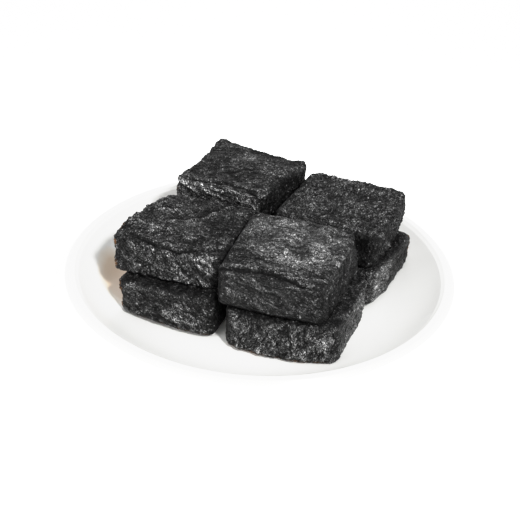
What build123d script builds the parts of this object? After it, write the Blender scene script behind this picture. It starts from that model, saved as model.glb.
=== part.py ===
"""Shallow white plate with eight black tofu blocks stacked on it, two by two and two high.

Millimetres, +Z up. The origin is the middle of the plate's foot ring, on the surface that the
plate stands on. +X runs along the front row of blocks and +Y from the front row to the back row.
The blocks lie loose: each has its own place, plan and slant, and lifts straight up off the one
below it.
"""

import math
import os

from build123d import *

# Plate
plate_diameter = 165
rim_height = 22
wall_thickness = 3.6
floor_radius = 50
floor_height = 5.5
lip_inner_radius = 77
lip_inner_height = 20.5
lip_top_inner_radius = 78.6
lip_top_outer_radius = 80.8
lip_edge_height = 20.6
lip_round = 0.9
foot_inner_radius = 42
foot_width = 4.5
foot_round = 0.6

# Blocks
upright_round = 4
edge_round = 2.2
rest_gap = 0.3
dish_gap = 0.3
tallest = 60

# Plan corners of each stack's blocks: front left, front right, back right, back left.
lower_plans = {
    "front_left": ((-43, -45.2), (0.5, -42.6), (-5.4, 2.8), (-42, -3)),
    "front_right": ((5.2, -43), (49.8, -34), (47.8, 4.6), (0.8, 2.2)),
    "back_right": ((2.6, 8.6), (48.6, 7.4), (52, 48), (3.2, 49.5)),
    "back_left": ((-44.5, 5.5), (-6.6, 9.6), (-2, 46), (-44, 48)),
}
upper_plans = {
    "front_left": ((-48, -41), (0.2, -38.2), (-5.8, 6), (-46, 0)),
    "front_right": ((1.4, -42.8), (42.3, -37.6), (40.3, 6), (-4.6, 1)),
    "back_right": ((0.8, 9), (47, 9.2), (45.2, 53.6), (0.6, 51.5)),
    "back_left": ((-47.5, 7.5), (-6.2, 10), (-0.4, 49.5), (-49.5, 52.5)),
}
# How far each side of a block swells outward at its middle: front, right, back, left.
lower_swells = {
    "front_left": (2.4, 0, 0, 0.6),
    "front_right": (3.6, 0.4, 0, 0),
    "back_right": (0, 0.8, 1.5, 0),
    "back_left": (0, 0, 1.5, 1.2),
}
upper_swells = {
    "front_left": (0.6, 0, 0.6, 3.2),
    "front_right": (0.8, 0.6, 0.4, 0),
    "back_right": (0, 1.4, 0.5, 0),
    "back_left": (0.3, 0, 0.8, -1.2),
}
# Middle of each stack in plan, and the slanting levels of its bed, the seam between its two
# blocks and its crown: height at the middle, rise per millimetre along X, and along Y.
middles = {
    "front_left": (-23, -20),
    "front_right": (22, -18),
    "back_right": (25, 30),
    "back_left": (-25, 28),
}
beds = {
    "front_left": (6.6, -0.025, -0.02),
    "front_right": (5.8, 0, 0),
    "back_right": (7.2, 0.03, 0.035),
    "back_left": (7.1, -0.04, 0.05),
}
seams = {
    "front_left": (24.4, 0.08, 0),
    "front_right": (24, 0.03, 0),
    "back_right": (24.5, 0.01, 0.03),
    "back_left": (26, -0.04, 0.05),
}
crowns = {
    "front_left": (40.7, 0, 0.04),
    "front_right": (41.8, 0, 0.075),
    "back_right": (41.5, 0, 0.05),
    "back_left": (45.8, 0, 0.045),
}

# The inside of the dish turns up in one arc, tangent to the floor.
wall_run = lip_inner_radius - floor_radius
wall_rise = lip_inner_height - floor_height
wall_turn = 2 * math.degrees(math.atan2(wall_rise, wall_run))
wall_radius = (wall_run**2 + wall_rise**2) / (2 * wall_rise)
wall_centre = (floor_radius, floor_height + wall_radius)


def slanting(stack, level, lift=0):
    """The plane through a stack's level, raised by lift."""
    x, y = middles[stack]
    height, rise_x, rise_y = level
    return Plane(origin=(x, y, height + lift), z_dir=(-rise_x, -rise_y, 1))


def pillow_block(name, plan, swells, below, above):
    """A soft-edged block of the given plan between two slanting planes, clear of the dish."""
    with BuildPart() as block:
        with BuildSketch():
            with BuildLine():
                for start, end, swell in zip(plan, plan[1:] + plan[:1], swells):
                    side = Line(start, end, mode=Mode.PRIVATE)
                    if swell:
                        outward = (side % 0.5).rotate(Axis.Z, -90)
                        ThreePointArc(start, side @ 0.5 + outward * swell, end)
                    else:
                        Line(start, end)
            make_face()
        extrude(amount=tallest)
        split(bisect_by=below, keep=Keep.TOP)
        split(bisect_by=above, keep=Keep.BOTTOM)
        fillet(block.edges().filter_by(Axis.Z), upright_round)
        levels = block.faces().sort_by(Axis.Z)
        fillet(levels[0].edges() + levels[-1].edges(), edge_round)
        # A block that reaches the turned-up wall of the dish takes the shape of the wall.
        with BuildSketch(Plane.XZ):
            with BuildLine():
                hollow_wall = CenterArc(wall_centre, wall_radius - dish_gap, -90, wall_turn)
                Polyline(
                    hollow_wall @ 1,
                    (lip_inner_radius, tallest),
                    (0, tallest),
                    (0, floor_height + dish_gap),
                    hollow_wall @ 0,
                )
            make_face()
        revolve(axis=Axis.Z, mode=Mode.INTERSECT)
    block.part.label = name
    return block


os.makedirs("parts", exist_ok=True)

with BuildPart() as plate:
    with BuildSketch(Plane.XZ):
        with BuildLine():
            inside = CenterArc(wall_centre, wall_radius, -90, wall_turn)
            outside = CenterArc(wall_centre, wall_radius + wall_thickness, -90, wall_turn)
            Polyline(
                inside @ 1,
                (lip_top_inner_radius, rim_height),
                (lip_top_outer_radius, rim_height),
                (plate_diameter / 2, lip_edge_height),
                outside @ 1,
            )
            Polyline(
                outside @ 0,
                (foot_inner_radius + foot_width, floor_height - wall_thickness),
                (foot_inner_radius + foot_width, 0),
                (foot_inner_radius, 0),
                (foot_inner_radius, floor_height - wall_thickness),
                (0, floor_height - wall_thickness),
                (0, floor_height),
                inside @ 0,
            )
        make_face()
    revolve(axis=Axis.Z)
    lip_edges = plate.edges().filter_by(GeomType.CIRCLE).group_by(Axis.Z)[-1]
    fillet(lip_edges, lip_round)
    foot_edges = plate.edges().filter_by(GeomType.CIRCLE).group_by(Axis.Z)[0]
    fillet(foot_edges, foot_round)
plate.part.label = "plate"
export_step(plate.part, "parts/plate.step")

for stack in middles:
    bed = slanting(stack, beds[stack])
    seam_below = slanting(stack, seams[stack])
    seam_above = slanting(stack, seams[stack], rest_gap)
    crown = slanting(stack, crowns[stack])
    name = "lower_" + stack
    lower = pillow_block(name, lower_plans[stack], lower_swells[stack], bed, seam_below)
    export_step(lower.part, "parts/" + name + ".step")
    name = "upper_" + stack
    upper = pillow_block(name, upper_plans[stack], upper_swells[stack], seam_above, crown)
    export_step(upper.part, "parts/" + name + ".step")
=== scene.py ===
"""The looks of a shallow white plate with a two-layer stack of wrinkled black tofu blocks.

Lengths inside the sculpting functions are millimetres; everything given to Blender is metres.
"""
import math

import bpy
import numpy as np
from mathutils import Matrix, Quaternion, Vector


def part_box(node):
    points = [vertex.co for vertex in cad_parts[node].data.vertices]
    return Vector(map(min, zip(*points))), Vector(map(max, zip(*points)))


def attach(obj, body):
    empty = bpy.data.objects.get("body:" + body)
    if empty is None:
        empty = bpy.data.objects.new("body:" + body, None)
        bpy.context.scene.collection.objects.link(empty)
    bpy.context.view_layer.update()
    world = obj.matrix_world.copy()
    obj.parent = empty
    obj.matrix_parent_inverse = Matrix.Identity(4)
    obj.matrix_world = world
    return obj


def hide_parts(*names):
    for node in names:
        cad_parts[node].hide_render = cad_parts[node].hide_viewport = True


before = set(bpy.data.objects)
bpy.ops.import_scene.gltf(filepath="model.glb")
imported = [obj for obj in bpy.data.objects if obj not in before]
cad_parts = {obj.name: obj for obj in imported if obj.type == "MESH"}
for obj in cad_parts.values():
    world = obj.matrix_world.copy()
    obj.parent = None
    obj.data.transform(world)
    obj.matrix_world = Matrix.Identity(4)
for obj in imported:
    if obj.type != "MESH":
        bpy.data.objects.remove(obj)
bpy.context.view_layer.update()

MM = 0.001

# How finely a block is meshed, and how many times that mesh is evened out.
VOXEL = 0.36 * MM
SMOOTHING_PASSES = 6

# How far a block's relief may stand out, in mm: on a free face, and on one that lies against
# something. There the relief is also calmer, and the skin is painted darker and less pale as
# shade between the blocks, by these shares.
MOST_FREE = 1.3
MOST_TIGHT = 0.08
TIGHT_CALM = 0.45
TIGHT_PAINTED_SHADE = 0.17
TIGHT_SHADE_DIMMING = 0.6

# What a block's skin is made of, as sizes in mm, from the broadest to the finest.
LUMP_SIZE = 14.0
PATCH_SIZE = 9.0
EDGE_SIZE = 7.0
WARP_SIZE = 6.0
SWELLING_SIZE = 5.5
BLISTER_SIZE = 4.4
FOLD_SIZE = 3.4
PEBBLE_SIZE = 1.5
SPECK_SIZE = 0.95

# How much of its length the skin's pattern loses along its lie, so that it draws out into folds.
DRAWN_OUT = 0.72

# The colour of a browned edge, and how far in mm the skin's cracks stray from straight lines.
TOASTED = (0.105, 0.052, 0.022)
STRAY = 2.6

# How much lighter the skin's pale dots are, as painted glints, and how rough they and its
# oily places are.
DOT_GLINT_TONE = 0.28
DOT_ROUGHNESS = 0.28
OILY_ROUGHNESS = 0.4

# The plate's glaze and bare clay, each mottled between two tints. In mm: the heights over the
# table between which glaze gives way to clay, and how far under the rim's top the glaze is
# painted darker as shade.
GLAZE_TINTS = ((0.867, 0.867, 0.848), (0.887, 0.887, 0.868))
CLAY_TINTS = ((0.66, 0.64, 0.6), (0.8, 0.78, 0.74))
GLAZE_ENDS = (0.9, 0.4)
RIM_SHADE_DEPTHS = (1.1, 0.4)

# A warm tint on the plate beside the left of the stack, partly oil and partly painted shadow,
# in mm and degrees, and its tint as the share of its reach grows from the middle outwards.
OIL_AND_SHADOW_PLACE = (-52.5, -25.5, 9.0)
OIL_AND_SHADOW_TURN = -44.0
OIL_AND_SHADOW_REACH = (22.0, 12.0, 40.0)
OIL_AND_SHADOW_TINTS = (
    (0.6, (0.6, 0.44, 0.31)),
    (0.95, (0.72, 0.58, 0.45)),
    (1.15, (0.92, 0.86, 0.79)),
    (1.25, (1, 1, 1)),
)

# The floor: half its width in m, and how strongly it glows.
FLOOR_HALF = 3.0
FLOOR_GLOW = 1.1

# Light from all round, and the lamps: where they stand and how wide they are in m, their watts,
# and where they all point.
WORLD_STRENGTH = 0.9
LAMPS = {
    "key": dict(place=(0.472, -0.328, 0.582), size=0.09, watts=5.2),
    "back": dict(place=(-0.35, 0.75, 0.5), size=0.5, watts=1.2),
    "fill": dict(place=(-0.3, -0.68, 0.36), size=0.5, watts=3.0),
}
LAMP_AIM = (0, 0, 0.03)

# The camera: azimuth from straight in front, elevation and roll in degrees, distance in m, lens
# and sensor in mm, and where it looks in m, from the plate's middle and the top of its rim.
CAMERA_AZIMUTH = 25.0
CAMERA_ELEVATION = 31.87
CAMERA_ROLL = 2.65
CAMERA_DISTANCE = 0.3426
CAMERA_LENS = 55.0
CAMERA_SENSOR = 36.0
AIM_ACROSS = (0.0001, -0.0007)
AIM_BELOW_RIM = 0.0011

# The display's response to light: linear for the dark blocks, with a soft shoulder.
TONE_WHITE = 2.0
TONE_CURVE = (
    (0.1, 0.1),
    (0.3, 0.31),
    (0.5, 0.54),
    (0.7, 0.79),
    (0.85, 0.89),
    (1.0, 0.925),
    (1.5, 0.96),
)


# ---------------------------------------------------------------- noise, in numpy


# Odd numbers that scatter the bits of what they multiply.
SCATTER = [np.uint32(n) for n in (374761393, 668265263, 2246822519, 3266489917)]
LARGEST = 2.0**32 - 1

# Brings gradient noise to about -1 to 1.
NOISE_GAIN = 1.6


def hashed(cells, seed):
    """A repeatable number in 0..1 for each row of integer cell coordinates."""
    with np.errstate(over="ignore"):
        c = cells.astype(np.int64).astype(np.uint32)
        h = c[:, 0] * SCATTER[0] + c[:, 1] * SCATTER[1]
        h = h + c[:, 2] * SCATTER[2] + np.uint32(seed) * SCATTER[3]
        h = (h ^ (h >> np.uint32(15))) * SCATTER[2]
        h = (h ^ (h >> np.uint32(13))) * SCATTER[3]
        h = h ^ (h >> np.uint32(16))
    return h.astype(np.float64) / LARGEST


CORNERS = [np.array((i, j, k)) for i in (0, 1) for j in (0, 1) for k in (0, 1)]


def smooth_noise(points, size, seed):
    """Gradient noise between about -1 and 1 whose bumps are `size` across."""
    p = points / size
    base = np.floor(p)
    inside = p - base
    fade = inside**3 * (inside * (inside * 6 - 15) + 10)
    total = np.zeros(len(p))
    for corner in CORNERS:
        cell = base + corner
        turn = hashed(cell, seed) * 2 * math.pi
        rise = hashed(cell, seed + 101) * 2 - 1
        flat = np.sqrt(np.maximum(0, 1 - rise**2))
        slope = np.stack([flat * np.cos(turn), flat * np.sin(turn), rise], 1)
        weight = np.prod(np.where(corner, fade, 1 - fade), axis=1)
        total += weight * np.sum(slope * (inside - corner), axis=1)
    return total * NOISE_GAIN


def layered_noise(points, size, seed, layers=3, fall=0.5):
    """Several layers of smooth noise, each half the size of the one before."""
    total = np.zeros(len(points))
    strength = 1.0
    for layer in range(layers):
        total += strength * smooth_noise(points, size / 2**layer, seed + 7 * layer)
        strength *= fall
    return total


def creased_noise(points, size, seed, layers=3):
    """Noise with thin valleys at 0 and broad hills towards 1."""
    total = np.zeros(len(points))
    strength = 1.0
    whole = 0.0
    for layer in range(layers):
        hill = np.abs(smooth_noise(points, size / 2**layer, seed + 13 * layer))
        total += strength * np.minimum(1, hill * 2.2) ** 0.7
        whole += strength
        strength *= 0.55
    return total / whole


def pebbles(points, size, seed):
    """Distance to the nearest and second nearest of scattered points, over `size`."""
    p = points / size
    base = np.floor(p)
    nearest = np.full(len(p), np.inf)
    second = np.full(len(p), np.inf)
    for i in (-1, 0, 1):
        for j in (-1, 0, 1):
            for k in (-1, 0, 1):
                cell = base + (i, j, k)
                place = [hashed(cell, seed + n) for n in (1, 2, 3)]
                away = np.linalg.norm(cell + np.stack(place, 1) - p, axis=1)
                second = np.minimum(second, np.maximum(nearest, away))
                nearest = np.minimum(nearest, away)
    return nearest, second


def ramp(low, high, value):
    """Smoothly 0 below low and 1 above high."""
    t = np.clip((value - low) / (high - low), 0, 1)
    return t * t * (3 - 2 * t)


# ---------------------------------------------------------------- sculpting a block

# Which two axes of a block's box run across and up each face, and the face's direction.
FACES = {
    "top": (0, 1, (0, 0, 1)),
    "front": (0, 2, (0, -1, 0)),
    "right": (1, 2, (1, 0, 0)),
    "left": (1, 2, (-1, 0, 0)),
    "back": (0, 2, (0, 1, 0)),
}


class Block:
    """A block's surface as arrays with a row for each vertex, in mm.

    places moves as the block is shaped; start and normals are where it was, and raised is how far
    the relief will lift it along its normal. relief is painted into the skin as shade where low
    and light where high; brown, gloss and pale colour the skin, pale in places as a painted
    highlight; and strand is where its wrinkles are drawn.
    """

    def __init__(self, places, normals, low, high, seed):
        self.places = places
        self.start = places.copy()
        self.normals = normals
        self.low = low
        self.span = high - low
        self.seed = seed
        self.raised = np.zeros(len(places))
        self.relief = np.zeros(len(places))
        self.brown = np.zeros(len(places))
        self.gloss = np.zeros(len(places))
        self.pale = np.zeros(len(places))
        self.strand = places.copy()

    def share(self, face, low=0.45, high=0.85):
        """How far each vertex belongs to a face, 0 to 1."""
        return ramp(low, high, self.normals @ np.array(FACES[face][2], float))

    def fractions(self):
        """Each vertex's place within the block's box, 0 to 1 along each axis."""
        return (self.start - self.low) / self.span

    def flat(self, face):
        """Each vertex's place in mm across and up a face."""
        return self.start[:, FACES[face][:2]]

    def on_face(self, face, spots):
        """Places in mm across and up a face, from fractions of the box."""
        axes = list(FACES[face][:2])
        return np.array(spots) * self.span[axes] + self.low[axes]

    def add(self, height, shade=1.0):
        """Raises the surface by height, in mm, and paints it into the skin as shade and light."""
        self.raised += height
        self.relief += height * shade

    def move(self, shift, weight):
        """Moves the surface by a vector in mm, by each vertex's weight."""
        self.places += np.array(shift, float) * weight[:, None]

    def shave(self, corner, direction, soft=0.8):
        """Flattens what stands beyond a plane. corner is in fractions of the box."""
        direction = np.array(direction, float) / np.linalg.norm(direction)
        through = self.low + self.span * np.array(corner)
        beyond = (self.places - through) @ direction
        cut = np.logaddexp(0, beyond / soft) * soft
        self.places -= direction * (cut * ramp(-3 * soft, 0, beyond))[:, None]

    def along(self, face, line):
        """Distance in mm from a line drawn on a face, the side it lies on, and its end fade."""
        flat = self.flat(face)
        corners = self.on_face(face, line)
        best = np.full(len(flat), np.inf)
        side = np.zeros(len(flat))
        reach = np.zeros(len(flat))
        lengths = np.linalg.norm(np.diff(corners, axis=0), axis=1)
        run = 0.0
        for a, b, length in zip(corners, corners[1:], lengths):
            way = (b - a) / length
            t = np.clip((flat - a) @ way, 0, length)
            gap = flat - a - t[:, None] * way
            away = np.linalg.norm(gap, axis=1)
            closer = away < best
            turned = way[0] * gap[:, 1] - way[1] * gap[:, 0]
            best = np.where(closer, away, best)
            side = np.where(closer, np.sign(turned), side)
            reach = np.where(closer, (run + t) / lengths.sum(), reach)
            run += length
        fade = ramp(0, 0.12, reach) * ramp(0, 0.12, 1 - reach)
        return best, side, fade

    def crease(self, face, line, depth, width, lip=0.0, wobble=1.0):
        """A groove along a line, or a ridge if depth is below 0.

        A lip, if there is one, stands on its left going along the line.
        """
        drift = smooth_noise(self.start, 5.0, self.seed + 31) * wobble
        away, side, fade = self.along(face, line)
        offset = away * side + drift
        weight = self.share(face, 0.1, 0.5) * fade
        groove = -depth * np.exp(-((offset / width) ** 2))
        bank = lip * np.exp(-(((offset - 2.2 * width) / (1.8 * width)) ** 2))
        self.add((groove + bank) * weight)

    def patch(self, face, centre, radius, inner=0.45):
        """A soft round patch of a face: 1 within `inner` of its radius in mm, 0 outside it."""
        gap = (self.flat(face) - self.on_face(face, centre)) / np.array(radius)
        return self.share(face, 0.2, 0.6) * ramp(1.0, inner, np.linalg.norm(gap, axis=1))

    def around(self, place, radius, inner=0.5):
        """A soft ball: 1 within `inner` of a radius in mm of a place in the box, 0 outside it."""
        away = np.linalg.norm((self.fractions() - place) * self.span, axis=1)
        return ramp(radius, inner * radius, away)

    def cells(self, weight, size, depth, width=0.16):
        """A net of fine cracks between smooth cells of `size` mm."""
        drift = np.stack([smooth_noise(self.start, 3.0, self.seed + n) for n in (41, 42, 43)], 1)
        nearest, second = pebbles(self.start + drift * 0.8, size, self.seed + 44)
        crack = ramp(width, 0.0, second - nearest)
        self.add(-depth * crack * weight, shade=2.2)

    def facing(self, direction, least=0.8):
        """How far each vertex faces a direction, 0 where the cosine to it is `least` or less."""
        direction = np.array(direction, float) / np.linalg.norm(direction)
        return ramp(least, 0.5 + 0.5 * least, self.normals @ direction)

    def toast(self, weight):
        """Brown, in mottled patches, where weight says."""
        mottle = ramp(-0.25, 0.45, layered_noise(self.start, 5.0, self.seed + 91, 3))
        self.brown += weight * mottle * 0.85

    def bubbles(self, weight, size, height):
        """Rounded blisters of about `size` mm, pale on top."""
        nearest, _ = pebbles(self.start, size, self.seed + 81)
        self.add(height * ramp(0.55, 0.1, nearest) * weight, shade=0.3)
        self.pale += 0.5 * ramp(0.36, 0.14, nearest) * weight

    def strokes(self, face, centre, radius, angle, spacing, depth):
        """Parallel wrinkles at an angle in degrees, in a soft round patch of a face."""
        flat = self.flat(face)
        weight = self.patch(face, centre, radius)
        lean = math.radians(angle)
        over = -flat[:, 0] * math.sin(lean) + flat[:, 1] * math.cos(lean)
        on = flat[:, 0] * math.cos(lean) + flat[:, 1] * math.sin(lean)
        bend = smooth_noise(self.start, 7.0, self.seed + 51) * spacing * 0.7
        stretched = np.stack([over + bend, on * 0.22, np.zeros(len(flat))], 1)
        wave = smooth_noise(stretched, spacing, self.seed + 57)
        self.add(depth * (np.abs(wave) * 2.4 - 0.7) * weight)


# What each block's skin is like. tight lists the faces that lie against a neighbour, where
# nothing may stand out. lumps, wrinkles and grain are strengths in mm, and lie is the way that
# the wrinkles run.
BLOCKS = {
    "upper_back_left": dict(
        seed=11,
        tight=("right",),
        lumps=0.85,
        wrinkles=0.66,
        grain=0.2,
        lie=(1, 0.2, -0.5),
    ),
    "upper_back_right": dict(
        seed=23,
        tight=("left", "front"),
        lumps=0.8,
        wrinkles=0.56,
        grain=0.3,
        lie=(0.3, 1, 0.6),
    ),
    "upper_front_left": dict(
        seed=37,
        tight=("right", "back"),
        lumps=0.85,
        wrinkles=0.66,
        grain=0.24,
        lie=(0.6, 0.3, -0.8),
    ),
    "upper_front_right": dict(
        seed=41,
        tight=("left", "back"),
        lumps=0.6,
        wrinkles=0.6,
        grain=0.12,
        lie=(1, 0.2, -0.4),
    ),
    "lower_back_left": dict(
        seed=53,
        tight=("right", "front", "top"),
        lumps=0.8,
        wrinkles=0.6,
        grain=0.22,
        lie=(0.3, 1, 0.2),
    ),
    "lower_back_right": dict(
        seed=67,
        tight=("left", "front", "top"),
        lumps=0.8,
        wrinkles=0.6,
        grain=0.22,
        lie=(0.1, 1, -0.3),
    ),
    "lower_front_left": dict(
        seed=71,
        tight=("right", "back", "top"),
        lumps=0.75,
        wrinkles=0.66,
        grain=0.26,
        lie=(1, 0.1, -0.7),
    ),
    "lower_front_right": dict(
        seed=89,
        tight=("left", "back", "top"),
        lumps=0.95,
        wrinkles=0.46,
        grain=0.3,
        lie=(0.1, 0.3, 1),
    ),
}


# What is special about each block. u, v and w are fractions of its box, 0 to 1 from left to
# right, front to back and bottom to top. Lines and centres on a face are fractions of the box
# across and up that face, and radii, spacings, widths and depths are in mm.


def shape_upper_back_left(block):
    """The highest block: raised back corners, and a front with slanting wrinkles."""
    u, v, w = block.fractions().T
    block.move((0, 0.5, 1.3), ramp(0.88, 1.0, v) * ramp(0.14, 0.0, u) * ramp(0.3, 1, w))
    block.move((0.8, -0.4, 0.9), ramp(0.7, 1.0, v) * ramp(0.8, 1.0, u) * ramp(0.3, 1, w))
    block.add(-0.9 * np.exp(-(((u - 0.62) / 0.2) ** 2)) * ramp(0.75, 1, v) * block.share("top"))
    crease = (
        (0.08, 0.03),
        (0.28, 0.06),
        (0.42, 0.11),
        (0.56, 0.15),
        (0.72, 0.12),
        (0.92, 0.03),
    )
    block.crease("top", crease, depth=1.1, width=0.75, lip=0.5)
    block.strokes("front", (0.4, 0.6), (24, 14), angle=-32, spacing=2.6, depth=0.5)
    block.strokes("right", (0.5, 0.5), (26, 12), angle=4, spacing=2.2, depth=0.5)
    block.strokes("left", (0.5, 0.5), (26, 12), angle=70, spacing=3.0, depth=0.4)
    block.strokes("back", (0.5, 0.5), (26, 12), angle=20, spacing=3.0, depth=0.4)
    block.gloss += 0.6 * block.patch("top", (0.45, 0.7), (9, 6))
    block.pale += 0.6 * block.patch("top", (0.45, 0.7), (6, 4))
    block.pale += 0.8 * block.patch("front", (0.5, 0.5), (30, 18))
    block.pale += 0.3 * block.share("right")
    left_edge = block.facing((-0.9, -0.42, 0.1), least=0.66)
    block.toast(left_edge * ramp(1.0, 0.7, w) * ramp(0.45, 0.15, v))


def shape_upper_back_right(block):
    """Evenly granular, with a swelling right side and a rounded front right corner."""
    u, _, w = block.fractions().T
    block.move((0.9, 0, 0), ramp(0.8, 1, u) * np.sin(np.pi * np.clip(w, 0, 1)))
    block.shave((0.97, 0.04, 1.0), (0.6, -0.5, 0.62), soft=1.2)
    block.crease("top", ((0.1, 0.62), (0.35, 0.74), (0.6, 0.7)), depth=0.35, width=0.9, lip=0.2)
    block.crease("right", ((0.05, 0.62), (0.4, 0.5), (0.9, 0.6)), depth=0.5, width=0.8, lip=0.3)
    block.strokes("right", (0.5, 0.4), (24, 12), angle=-25, spacing=3.0, depth=0.35)
    block.strokes("back", (0.5, 0.5), (26, 12), angle=-15, spacing=3.2, depth=0.35)
    block.pale += 0.15 * block.share("top")
    # The right side is painted darker, as shade.
    block.relief -= 0.33 * block.share("right")


def shape_upper_front_left(block):
    """A ridge across the top, a wavy front edge and a flat, pale spot at its right end."""
    u, v, w = block.fractions().T
    block.move((0, 0, -1.2), ramp(0.25, 0.0, u) * ramp(0.5, 1, w))
    ridge = ((0.30, 0.40), (0.48, 0.50), (0.60, 0.62), (0.64, 0.76), (0.72, 0.96))
    block.crease("top", ridge, depth=-1.0, width=1.0, lip=-0.6)
    front_edge = (
        (0.10, 0.16),
        (0.22, 0.10),
        (0.36, 0.06),
        (0.50, 0.03),
        (0.64, 0.05),
        (0.84, 0.14),
        (0.97, 0.28),
    )
    block.crease("top", front_edge, depth=1.2, width=0.75, lip=0.5)
    block.shave((0.965, 0.055, 0.72), (0.72, -0.62, 0.30), soft=0.5)
    # The flat spot is painted pale and lighter, as a highlight, and made glossy.
    highlit_facet = block.around((0.93, 0.04, 0.78), 6.0)
    block.gloss += highlit_facet
    block.pale += highlit_facet
    block.relief += 0.35 * highlit_facet
    block.strokes("front", (0.82, 0.5), (13, 12), angle=-52, spacing=2.3, depth=0.6)
    block.strokes("front", (0.25, 0.5), (16, 12), angle=-40, spacing=3.2, depth=0.4)
    block.strokes("left", (0.5, 0.5), (30, 12), angle=65, spacing=2.6, depth=0.5)
    block.strokes("right", (0.4, 0.6), (26, 12), angle=-20, spacing=2.4, depth=0.4)
    block.strokes("front", (0.08, 0.5), (9, 14), angle=86, spacing=2.6, depth=0.7)
    left_edge = block.facing((-0.9, -0.42, 0.1), least=0.6)
    block.toast(1.3 * left_edge * ramp(1.05, 0.8, w) * ramp(0.45, 0.15, v))
    block.gloss += 0.5 * block.patch("top", (0.55, 0.5), (8, 12))
    block.pale += 0.55 * block.patch("front", (0.6, 0.45), (30, 14))
    block.pale += 0.25 * block.patch("top", (0.35, 0.4), (20, 20))
    block.crease("top", ((0.08, 0.36), (0.2, 0.28), (0.38, 0.3)), depth=-0.6, width=0.7)
    block.crease("top", ((0.12, 0.55), (0.3, 0.6), (0.42, 0.75)), depth=-0.4, width=0.7)


def shape_upper_front_right(block):
    """The smoothest block: domed and shiny, with a long crease behind its front edge."""
    u, v, w = block.fractions().T
    dome = np.clip(1 - (2 * u - 1) ** 2, 0, 1) * np.clip(1 - (2 * v - 1.1) ** 2, 0, 1)
    block.add(0.8 * dome * block.share("top"), shade=0.1)
    block.move((2.2, 0, 0), ramp(0.75, 1, u) * ramp(0.85, 0.1, w))
    crease = (
        (0.02, 0.02),
        (0.16, 0.04),
        (0.30, 0.08),
        (0.46, 0.12),
        (0.60, 0.14),
        (0.76, 0.13),
        (0.92, 0.08),
    )
    block.crease("top", crease, depth=1.2, width=0.85, lip=0.5)
    block.crease("front", ((0.05, 0.2), (0.4, 0.3), (0.8, 0.2)), depth=-0.3, width=3.0)
    block.strokes("front", (0.5, 0.45), (26, 12), angle=-22, spacing=3.2, depth=0.35)
    shiny = block.patch("top", (0.56, 0.64), (29, 21), inner=0.5)
    block.gloss += shiny
    block.gloss += 0.9 * block.patch("front", (0.5, 0.45), (30, 16))
    # Painted shade: the right side darker, and the front darker towards its foot.
    block.relief -= 0.28 * block.share("right") + 0.3 * block.share("front") * ramp(0.45, 0.05, w)
    # The shiny patch on top is painted lighter and pale, as a painted highlight, with fine cracks.
    block.relief += 0.3 * shiny
    block.cells(shiny, size=2.8, depth=0.26)
    block.pale += 1.0 * shiny * ramp(-0.5, 0.2, smooth_noise(block.start, 9.0, block.seed + 77))


def shape_lower_front_left(block):
    """Upright and even, with a shallow crease low on its front."""
    _, v, w = block.fractions().T
    crease = ((0.02, 0.35), (0.3, 0.25), (0.7, 0.2), (0.98, 0.3))
    block.crease("front", crease, depth=0.35, width=1.2, lip=0.25)
    block.strokes("front", (0.5, 0.4), (30, 12), angle=-28, spacing=2.8, depth=0.45)
    block.strokes("left", (0.5, 0.4), (30, 12), angle=50, spacing=3.0, depth=0.4)
    block.pale += 0.15 * block.share("front") + 0.6 * block.patch("front", (0.65, 0.15), (26, 9))
    block.gloss += 0.3 * block.share("front")
    left_edge = block.facing((-0.9, -0.45, 0)) * ramp(0.5, 0.15, v)
    foot = ramp(0.14, 0.02, w) * ramp(0.3, 0.0, v)
    block.toast(left_edge + foot)


def shape_lower_front_right(block):
    """The coarsest block: blistered front with upright folds, smooth right side."""
    _, v, w = block.fractions().T
    block.strokes("front", (0.62, 0.4), (18, 12), angle=84, spacing=3.0, depth=0.5)
    block.strokes("right", (0.5, 0.4), (28, 12), angle=10, spacing=4.0, depth=0.25)
    block.crease("front", ((0.62, 0.85), (0.66, 0.5), (0.63, 0.1)), depth=0.7, width=0.8, lip=0.5)
    block.bubbles(block.share("front"), size=4.6, height=0.3)
    block.gloss += 0.7 * block.share("right")
    # Of the pale below, the right side's share and the patch low at its back are painted light.
    block.pale += 0.5 * block.patch("front", (0.5, 0.4), (34, 16)) + 0.2 * block.share("right")
    lit_patch = block.around((1.0, 0.75, 0.3), 24.0)
    block.pale += 0.8 * lit_patch
    block.relief += 0.1 * lit_patch
    block.gloss += 0.35 * block.share("front")
    block.toast(ramp(0.12, 0.02, w) * ramp(0.3, 0.0, v))


def shape_lower_back_right(block):
    """Half hidden, with a shiny patch at the front of its right side, painted pale grey as light.
    """
    _, v, _ = block.fractions().T
    block.strokes("right", (0.5, 0.4), (28, 12), angle=-12, spacing=3.6, depth=0.35)
    block.strokes("back", (0.5, 0.4), (28, 12), angle=15, spacing=3.2, depth=0.35)
    block.gloss += 0.6 * block.share("right")
    # A shiny patch at the front of the right side, painted pale and lighter as light.
    lit_patch = block.around((1.0, 0.02, 0.45), 19.0)
    block.pale += 1.2 * lit_patch
    block.gloss += 0.4 * lit_patch
    block.relief += 0.25 * lit_patch
    block.toast(block.facing((0.8, 0.6, 0)) * ramp(0.6, 0.9, v))


def shape_lower_back_left(block):
    """Like its neighbours, with wrinkles on its two free sides."""
    block.strokes("left", (0.5, 0.4), (28, 12), angle=55, spacing=3.2, depth=0.4)
    block.strokes("back", (0.5, 0.4), (28, 12), angle=-20, spacing=3.2, depth=0.4)


SHAPERS = {
    "upper_back_left": shape_upper_back_left,
    "upper_back_right": shape_upper_back_right,
    "upper_front_left": shape_upper_front_left,
    "upper_front_right": shape_upper_front_right,
    "lower_back_left": shape_lower_back_left,
    "lower_back_right": shape_lower_back_right,
    "lower_front_left": shape_lower_front_left,
    "lower_front_right": shape_lower_front_right,
}


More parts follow.
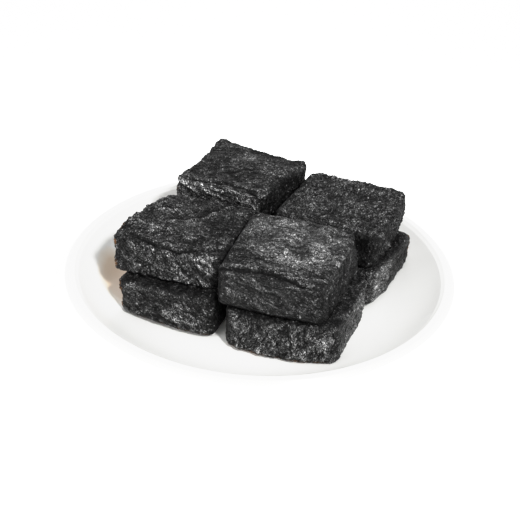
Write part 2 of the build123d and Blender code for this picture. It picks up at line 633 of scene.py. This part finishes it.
def skin(block, lumps, wrinkles, grain, lie):
    """The fried skin all over a block: lumps, crisp edges, wrinkles, pebbled grain and blisters."""
    p = block.start
    seed = block.seed
    warp = np.stack([smooth_noise(p, WARP_SIZE, seed + n) for n in (61, 62, 63)], 1) * 2.2
    calm = 1 - 0.7 * block.gloss
    patchy = ramp(-0.3, 0.5, smooth_noise(p, PATCH_SIZE, seed + 5))
    # Each shade below paints a layer's height into the skin, as painted shade low and light high.
    block.add(lumps * layered_noise(p, LUMP_SIZE, seed + 1, 2), shade=0.1)
    block.add(lumps * 0.65 * layered_noise(p, SWELLING_SIZE, seed + 2, 2), shade=0.45)
    upward = ramp(0.1, 0.95, block.normals[:, 2])
    edge = 4 * upward * (1 - upward)
    block.add(edge * (0.35 + 0.5 * smooth_noise(p, EDGE_SIZE, seed + 9)), shade=0.8)
    lie = np.array(lie, float) / np.linalg.norm(lie)
    block.strand = p + warp - DRAWN_OUT * ((p + warp) @ lie)[:, None] * lie
    folds = creased_noise(block.strand, FOLD_SIZE, seed + 3, 3)
    block.add(wrinkles * (folds - 0.7) * 1.7 * calm * (0.45 + 0.55 * patchy))
    nearest, second = pebbles(p + warp * 0.3, PEBBLE_SIZE, seed + 4)
    block.add(grain * (0.85 - nearest * 1.6) * calm * (1 - 0.5 * patchy), shade=0.5)
    block.add(-grain * 0.8 * ramp(0.2, 0.0, second - nearest) * calm, shade=1.2)
    blister, _ = pebbles(p, BLISTER_SIZE, seed + 6)
    block.add(grain * 2.0 * ramp(0.3, 0.1, blister) * (1 - patchy) * calm, shade=0.9)
    block.add(grain * 1.1 * layered_noise(p, SPECK_SIZE, seed + 8, 2) * calm, shade=0.5)


def tight_share(block, tight):
    """How far each vertex belongs to the underside or to a tight face."""
    share = ramp(0.2, 0.6, -block.normals[:, 2])
    for face in tight:
        share = np.maximum(share, block.share(face, 0.2, 0.6))
    return share


def remeshed(node):
    """A fine, even mesh over a CAD node."""
    rough = bpy.data.objects.new("rough", node.data.copy())
    bpy.context.scene.collection.objects.link(rough)
    remesh = rough.modifiers.new("remesh", "REMESH")
    remesh.mode = "VOXEL"
    remesh.voxel_size = VOXEL
    even = rough.modifiers.new("even", "SMOOTH")
    even.factor = 0.5
    even.iterations = SMOOTHING_PASSES
    seen = rough.evaluated_get(bpy.context.evaluated_depsgraph_get())
    mesh = bpy.data.meshes.new_from_object(seen)
    bpy.data.objects.remove(rough)
    return mesh


def block_from(mesh, name, seed):
    """The surface of a named block's mesh, ready to sculpt."""
    count = len(mesh.vertices)
    places = np.zeros(count * 3)
    mesh.vertices.foreach_get("co", places)
    normals = np.zeros(count * 3, np.float32)
    mesh.vertex_normals.foreach_get("vector", normals)
    low, high = (np.array(corner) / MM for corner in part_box(name))
    return Block(
        places.reshape(-1, 3) / MM, normals.reshape(-1, 3).astype(float), low, high, seed
    )


def sculpted(name):
    """A detailed block in place of a plain CAD node."""
    look = BLOCKS[name]
    mesh = remeshed(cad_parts[name])
    block = block_from(mesh, name, look["seed"])
    SHAPERS[name](block)
    skin(block, look["lumps"], look["wrinkles"], look["grain"], look["lie"])
    tight = tight_share(block, look["tight"])
    limit = MOST_TIGHT * tight + MOST_FREE * (1 - tight)
    height = np.minimum(block.raised * (1 - TIGHT_CALM * tight), limit)
    moved = block.places + block.normals * height[:, None]
    mesh.vertices.foreach_set("co", (moved * MM).ravel())
    # What the material reads, each from 0 to 1. A relief of 1 mm down or up is 0 or 1.
    shares = {
        # Tight faces are painted darker, and their pale dimmed, as shade between the blocks.
        "relief": block.relief * 0.5 + 0.5 - TIGHT_PAINTED_SHADE * tight,
        "brown": block.brown,
        "gloss": block.gloss,
        "pale": block.pale * (1 - TIGHT_SHADE_DIMMING * tight),
    }
    for label, values in shares.items():
        attribute = mesh.attributes.new(label, "FLOAT", "POINT")
        attribute.data.foreach_set("value", np.clip(values, 0, 1).astype(np.float32))
    strand = mesh.attributes.new("strand", "FLOAT_VECTOR", "POINT")
    strand.data.foreach_set("vector", (block.strand * MM).ravel().astype(np.float32))
    mesh.update()
    mesh.shade_smooth()
    piece = bpy.data.objects.new("block_" + name, mesh)
    bpy.context.scene.collection.objects.link(piece)
    mesh.materials.clear()
    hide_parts(name)
    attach(piece, name)
    return piece


# ---------------------------------------------------------------- materials

# A ramp's stops are (position, grey or colour), and a texture's scale is a count per metre.


def new_material(name):
    """An empty material, its node tree and its Principled shader."""
    material = bpy.data.materials.new(name)
    material.use_nodes = True
    tree = material.node_tree
    return material, tree, tree.nodes["Principled BSDF"]


def add_node(tree, kind, settings=None, **inputs):
    """A node with its properties and unlinked inputs set."""
    node = tree.nodes.new(kind)
    for key, value in (settings or {}).items():
        setattr(node, key, value)
    for key, value in inputs.items():
        node.inputs[key.replace("_", " ")].default_value = value
    return node


def attribute(tree, name, output="Fac"):
    """What the mesh carries at its vertices under a name."""
    return add_node(tree, "ShaderNodeAttribute", {"attribute_name": name}).outputs[output]


def noise(tree, place, scale, detail, roughness=0.5, output="Fac"):
    """Cloudy noise over place."""
    node = add_node(tree, "ShaderNodeTexNoise", Scale=scale, Detail=detail, Roughness=roughness)
    tree.links.new(place, node.inputs["Vector"])
    return node.outputs[output]


def cells(tree, place, scale, feature="F1"):
    """Distance to the middles of scattered cells over place, or to their edges."""
    node = add_node(tree, "ShaderNodeTexVoronoi", {"feature": feature}, Scale=scale, Randomness=1)
    tree.links.new(place, node.inputs["Vector"])
    return node.outputs["Distance"]


def step(tree, source, low, high):
    """0 where source is low, 1 where it is high, and smooth between."""
    smooth = {"interpolation_type": "SMOOTHSTEP"}
    node = add_node(tree, "ShaderNodeMapRange", smooth, From_Min=low, From_Max=high)
    tree.links.new(source, node.inputs["Value"])
    return node.outputs["Result"]


def bumped(tree, height, strength, distance, normal=None, invert=False):
    """A normal bent by height, at most distance mm high, on top of another normal."""
    node = add_node(tree, "ShaderNodeBump", {"invert": invert}, Strength=strength)
    node.inputs["Distance"].default_value = distance * MM
    tree.links.new(height, node.inputs["Height"])
    if normal:
        tree.links.new(normal, node.inputs["Normal"])
    return node.outputs["Normal"]


def ramp_node(tree, source, stops):
    """A colour ramp over source."""
    node = tree.nodes.new("ShaderNodeValToRGB")
    elements = node.color_ramp.elements
    while len(elements) < len(stops):
        elements.new(0.5)
    for element, (position, colour) in zip(elements, stops):
        element.position = position
        if isinstance(colour, (int, float)):
            colour = (colour, colour, colour)
        element.color = (*colour, 1)
    tree.links.new(source, node.inputs["Fac"])
    return node.outputs["Color"]


def mixed(tree, blend, factor, first, second):
    """Two colours mixed. factor is a number or a socket."""
    node = tree.nodes.new("ShaderNodeMix")
    node.data_type = "RGBA"
    node.blend_type = blend
    sockets = (("Factor", factor), ("A", first), ("B", second))
    kinds = {"Factor": "VALUE", "A": "RGBA", "B": "RGBA"}
    for name, value in sockets:
        socket = next(s for s in node.inputs if s.name == name and s.type == kinds[name])
        if hasattr(value, "links"):
            tree.links.new(value, socket)
        else:
            socket.default_value = value if name == "Factor" else (*value, 1)
    return next(s for s in node.outputs if s.type == "RGBA")


def strayed(tree, place):
    """Places pushed about, so that the edges of cells drawn over them aren't straight."""
    drift = noise(tree, place, 330, detail=2, output="Color")
    shift = add_node(tree, "ShaderNodeVectorMath", {"operation": "MULTIPLY_ADD"})
    shift.inputs[1].default_value = (STRAY * MM,) * 3
    tree.links.new(drift, shift.inputs[0])
    tree.links.new(place, shift.inputs[2])
    return shift.outputs["Vector"]


def tofu_material():
    """Near-black fried oily skin, painted grey on high points as light, black in folds as shade."""
    material, tree, shader = new_material("tofu_skin")
    link = tree.links.new
    place = tree.nodes.new("ShaderNodeTexCoord").outputs["Object"]
    crooked = strayed(tree, place)
    strand = attribute(tree, "strand", "Vector")
    relief, brown, gloss, pale = (
        attribute(tree, name) for name in ("relief", "brown", "gloss", "pale")
    )

    patch = noise(tree, place, 105, detail=3, roughness=0.55)
    cloud = noise(tree, place, 300, detail=5, roughness=0.65)
    fine = noise(tree, place, 1350, detail=3, roughness=0.65)
    grit = noise(tree, place, 2300, detail=1)
    threads = noise(tree, strand, 1150, detail=3, roughness=0.6)
    wrinkle = noise(tree, strand, 300, detail=3, roughness=0.55)
    # Thin lines along the wrinkles, painted dark as the shade in their creases, and bumped below.
    lines = ramp_node(tree, wrinkle, ((0.44, 1.0), (0.485, 0.0), (0.505, 0.0), (0.55, 1.0)))
    cracks = cells(tree, crooked, 430, "DISTANCE_TO_EDGE")
    crazing = cells(tree, crooked, 980, "DISTANCE_TO_EDGE")
    speck = cells(tree, place, 560)

    # The relief's grey, painted dark in its folds as shade and light on its high points, then
    # lightened and darkened by each layer in turn. Gloss fades the grain.
    painted_shade_by_height = ((0.15, 0.003), (0.38, 0.014), (0.52, 0.03), (0.7, 0.046), (0.95, 0.066))
    layers = (
        (pale, ((0.0, 0.85), (1.0, 2.7))),
        (patch, ((0.36, 0.75), (0.5, 1.0), (0.64, 1.4))),
        (cloud, ((0.38, 0.78), (0.62, 1.25))),
        (lines, ((0.0, 0.22), (0.5, 0.9), (1.0, 1.35))),
        (cracks, ((0.0, 0.35), (0.07, 0.85), (0.16, 1.1))),
        (crazing, ((0.0, 0.35), (0.16, 1.15))),
    )
    grain = (
        (fine, ((0.38, 0.42), (0.62, 1.65))),
        (threads, ((0.38, 0.4), (0.5, 0.95), (0.62, 1.9))),
        (grit, ((0.36, 0.05), (0.5, 0.75), (0.64, 3.6))),
    )
    tone = ramp_node(tree, relief, painted_shade_by_height)
    for source, stops in layers:
        tone = mixed(tree, "MULTIPLY", 1.0, tone, ramp_node(tree, source, stops))
    grain_share = ramp_node(tree, gloss, ((0.0, 1.0), (1.0, 0.68)))
    for source, stops in grain:
        tone = mixed(tree, "MULTIPLY", grain_share, tone, ramp_node(tree, source, stops))

    # Pale dots in loose groups, painted lighter as glints, then the browned edges.
    glint_dots = ramp_node(tree, speck, ((0.1, 1.0), (0.24, 0.0)))
    grouped = ramp_node(tree, cloud, ((0.5, 0.0), (0.62, 1.0)))
    glint_dots = mixed(tree, "MULTIPLY", 1.0, glint_dots, grouped)
    tone = mixed(tree, "ADD", glint_dots, tone, (DOT_GLINT_TONE,) * 3)
    grained = ramp_node(tree, fine, ((0.4, 0.3), (0.6, 2.2)))
    toasted = mixed(tree, "MULTIPLY", 1.0, grained, TOASTED)
    tone = mixed(tree, "MIX", brown, tone, toasted)
    link(tone, shader.inputs["Base Color"])

    rough = ramp_node(tree, patch, ((0.36, 0.75), (0.64, 0.5)))
    rough = mixed(tree, "MIX", gloss, rough, (OILY_ROUGHNESS,) * 3)
    rough = mixed(tree, "MIX", glint_dots, rough, (DOT_ROUGHNESS,) * 3)
    link(rough, shader.inputs["Roughness"])
    shader.inputs["Specular IOR Level"].default_value = 0.12
    shader.inputs["Coat Weight"].default_value = 0.03
    shader.inputs["Coat Roughness"].default_value = 0.3

    normal = bumped(tree, lines, strength=0.8, distance=0.3)
    normal = bumped(tree, cracks, strength=0.5, distance=0.4, normal=normal)
    normal = bumped(tree, threads, strength=1.0, distance=0.5, normal=normal)
    normal = bumped(tree, grit, strength=1.0, distance=0.35, normal=normal)
    normal = bumped(tree, speck, strength=0.6, distance=0.25, normal=normal, invert=True)
    link(normal, shader.inputs["Normal"])
    return material


def oil_and_shadow_tint(tree, place, cloud):
    """The oil and painted shadow's tint, its edge made uneven by cloud, and white outside it."""
    oil_and_shadow_frame = add_node(tree, "ShaderNodeMapping", {"vector_type": "TEXTURE"})
    oil_and_shadow_frame.inputs["Location"].default_value = Vector(OIL_AND_SHADOW_PLACE) * MM
    oil_and_shadow_frame.inputs["Rotation"].default_value = (0, 0, math.radians(OIL_AND_SHADOW_TURN))
    oil_and_shadow_frame.inputs["Scale"].default_value = Vector(OIL_AND_SHADOW_REACH) * MM
    tree.links.new(place, oil_and_shadow_frame.inputs["Vector"])
    reach = add_node(tree, "ShaderNodeVectorMath", {"operation": "LENGTH"})
    tree.links.new(oil_and_shadow_frame.outputs["Vector"], reach.inputs[0])
    ragged = add_node(tree, "ShaderNodeMath", {"operation": "MULTIPLY_ADD"})
    tree.links.new(cloud, ragged.inputs[0])
    ragged.inputs[1].default_value = 0.5
    tree.links.new(reach.outputs["Value"], ragged.inputs[2])
    # A ramp's positions end at 1, so the reach and the stops are both halved.
    halved = add_node(tree, "ShaderNodeMath", {"operation": "MULTIPLY"})
    tree.links.new(ragged.outputs["Value"], halved.inputs[0])
    halved.inputs[1].default_value = 0.5
    stops = [(position / 2, tint) for position, tint in OIL_AND_SHADOW_TINTS]
    return ramp_node(tree, halved.outputs["Value"], stops)


def porcelain_material(rim_height):
    """White glaze, faintly uneven, with oil, painted shadow and painted lip shade, on bare clay."""
    material, tree, shader = new_material("porcelain")
    link = tree.links.new
    place = tree.nodes.new("ShaderNodeTexCoord").outputs["Object"]
    parts = tree.nodes.new("ShaderNodeSeparateXYZ")
    link(place, parts.inputs["Vector"])
    height = parts.outputs["Z"]
    cloud = noise(tree, place, 40, detail=3)
    grit = noise(tree, place, 1800, detail=3, roughness=0.6)
    glaze = ramp_node(tree, cloud, tuple(zip((0.3, 0.7), GLAZE_TINTS)))
    clay = ramp_node(tree, grit, tuple(zip((0.35, 0.65), CLAY_TINTS)))
    # The glaze takes a warm tint beside the stack, partly oil and partly painted shadow.
    glaze = mixed(tree, "MULTIPLY", 1.0, glaze, oil_and_shadow_tint(tree, place, cloud))
    # The top of the rim is painted a little darker, as shade.
    lip = step(tree, height, *(rim_height - depth * MM for depth in RIM_SHADE_DEPTHS))
    thin = mixed(tree, "MULTIPLY", 1.0, glaze, (0.93, 0.93, 0.92))
    glaze = mixed(tree, "MIX", lip, glaze, thin)
    bare = step(tree, height, *(level * MM for level in GLAZE_ENDS))
    link(mixed(tree, "MIX", bare, glaze, clay), shader.inputs["Base Color"])
    rough = add_node(tree, "ShaderNodeMapRange", To_Min=0.3, To_Max=0.75)
    link(bare, rough.inputs["Value"])
    link(rough.outputs["Result"], shader.inputs["Roughness"])
    shader.inputs["IOR"].default_value = 1.52
    shader.inputs["Coat Weight"].default_value = 0.15
    shader.inputs["Coat Roughness"].default_value = 0.12
    normal = bumped(tree, cloud, strength=0.08, distance=0.4)
    link(normal, shader.inputs["Normal"])
    return material


def floor_material():
    """A pale table that glows a little, as a light table does, with a trace of unevenness."""
    material, tree, shader = new_material("floor")
    place = tree.nodes.new("ShaderNodeTexCoord").outputs["Object"]
    tone = ramp_node(tree, noise(tree, place, 3, detail=2), ((0.3, 0.66), (0.7, 0.68)))
    tree.links.new(tone, shader.inputs["Base Color"])
    shader.inputs["Roughness"].default_value = 0.8
    shader.inputs["Emission Color"].default_value = (1, 1, 1, 1)
    shader.inputs["Emission Strength"].default_value = FLOOR_GLOW
    return material


# ---------------------------------------------------------------- pieces

tofu = tofu_material()
for block_name in BLOCKS:
    sculpted(block_name).data.materials.append(tofu)

rim_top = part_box("plate")[1].z
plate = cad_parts["plate"]
plate.data.materials.clear()
plate.data.materials.append(porcelain_material(rim_top))


# ---------------------------------------------------------------- stage, light and camera


def add_floor():
    """The table that the plate stands on."""
    ways = ((-1, -1), (1, -1), (1, 1), (-1, 1))
    corners = [(x * FLOOR_HALF, y * FLOOR_HALF, 0) for x, y in ways]
    mesh = bpy.data.meshes.new("floor")
    mesh.from_pydata(corners, [], [(0, 1, 2, 3)])
    floor = bpy.data.objects.new("floor", mesh)
    bpy.context.scene.collection.objects.link(floor)
    mesh.materials.append(floor_material())


def add_lamp(name, place, size, watts):
    """A round area light, turned towards the stack."""
    light = bpy.data.lights.new(name, "AREA")
    light.shape = "DISK"
    light.size = size
    light.energy = watts
    holder = bpy.data.objects.new(name, light)
    holder.location = place
    holder.rotation_mode = "QUATERNION"
    holder.rotation_quaternion = (Vector(LAMP_AIM) - Vector(place)).to_track_quat("-Z", "Y")
    bpy.context.scene.collection.objects.link(holder)


def add_world():
    """Even white light from all round."""
    world = bpy.data.worlds.new("studio")
    world.use_nodes = True
    background = world.node_tree.nodes["Background"]
    background.inputs["Color"].default_value = (1, 1, 1, 1)
    background.inputs["Strength"].default_value = WORLD_STRENGTH
    bpy.context.scene.world = world


def add_camera(target):
    """The main view, from in front, above and to the right, with the picture rolled a little."""
    azimuth = math.radians(CAMERA_AZIMUTH)
    elevation = math.radians(CAMERA_ELEVATION)
    out = Vector((math.sin(azimuth), -math.cos(azimuth), 0)) * math.cos(elevation)
    out.z = math.sin(elevation)
    data = bpy.data.cameras.new("camera")
    data.lens = CAMERA_LENS
    data.sensor_width = CAMERA_SENSOR
    data.clip_start = 0.01
    camera = bpy.data.objects.new("camera", data)
    camera.location = target + out * CAMERA_DISTANCE
    camera.rotation_mode = "QUATERNION"
    level = (-out).to_track_quat("-Z", "Y")
    camera.rotation_quaternion = level @ Quaternion((0, 0, 1), math.radians(CAMERA_ROLL))
    bpy.context.scene.collection.objects.link(camera)
    bpy.context.scene.camera = camera


def add_tone_curve():
    """A plain display, with a soft shoulder so that the white plate keeps its shading."""
    view = bpy.context.scene.view_settings
    view.view_transform = "Standard"
    view.use_curve_mapping = True
    mapping = view.curve_mapping
    mapping.initialize()
    mapping.white_level = (TONE_WHITE,) * 3
    curve = mapping.curves[3]
    for light, shown in TONE_CURVE:
        curve.points.new(light / TONE_WHITE, shown)
    mapping.update()


add_floor()
add_world()
for lamp_name, lamp in LAMPS.items():
    add_lamp(lamp_name, **lamp)
add_camera(Vector((*AIM_ACROSS, rim_top - AIM_BELOW_RIM)))
add_tone_curve()
